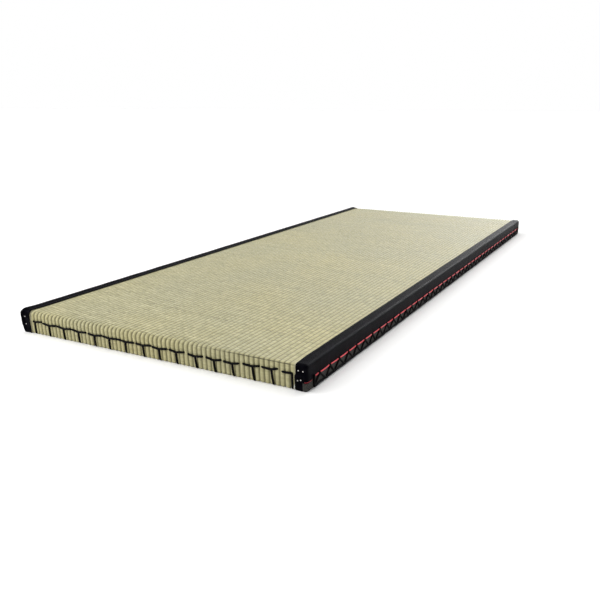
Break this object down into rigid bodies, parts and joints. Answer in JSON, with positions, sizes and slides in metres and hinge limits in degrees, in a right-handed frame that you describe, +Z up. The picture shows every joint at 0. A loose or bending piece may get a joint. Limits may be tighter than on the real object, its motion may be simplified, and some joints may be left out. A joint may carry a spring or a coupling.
{
  "type": "tatami mat",
  "caption": "Long rectangular floor mat: a firm board wrapped in ribbed woven rush, with cloth borders folded over both long sides and pinned at the ends.",
  "frame": {"origin": "on the floor, under the middle of the mat", "axes": "+X across the mat from the left border to the right border, +Y along the mat from the near end to the far end, +Z up from the floor"},
  "size_m": [0.8, 2.0024, 0.058],
  "materials": {
    "rush": "woven dried rush, ribbed, pale grey-green straw",
    "border_cloth": "black woven cotton with fine cross ribs and a soft sheen",
    "backing_cloth": "dark grey open plain weave",
    "thread": "waxed black sewing cord",
    "seam_thread": "red two-ply sewing thread",
    "pin_steel": "dull nickel-plated pin heads"
  },
  "bodies": {
    "root": {"rush_board": "rush", "border_left": "border_cloth", "border_right": "border_cloth", "backing": "backing_cloth", "pin_near_left_1": "pin_steel", "pin_near_left_2": "pin_steel", "pin_near_right_1": "pin_steel", "pin_near_right_2": "pin_steel", "pin_near_right_3": "pin_steel", "pin_near_right_4": "pin_steel", "pin_far_left_1": "pin_steel", "pin_far_left_2": "pin_steel", "pin_far_left_3": "pin_steel", "pin_far_left_4": "pin_steel", "pin_far_right_1": "pin_steel", "pin_far_right_2": "pin_steel", "pin_far_right_3": "pin_steel", "pin_far_right_4": "pin_steel"}
  },
  "joints": []
}
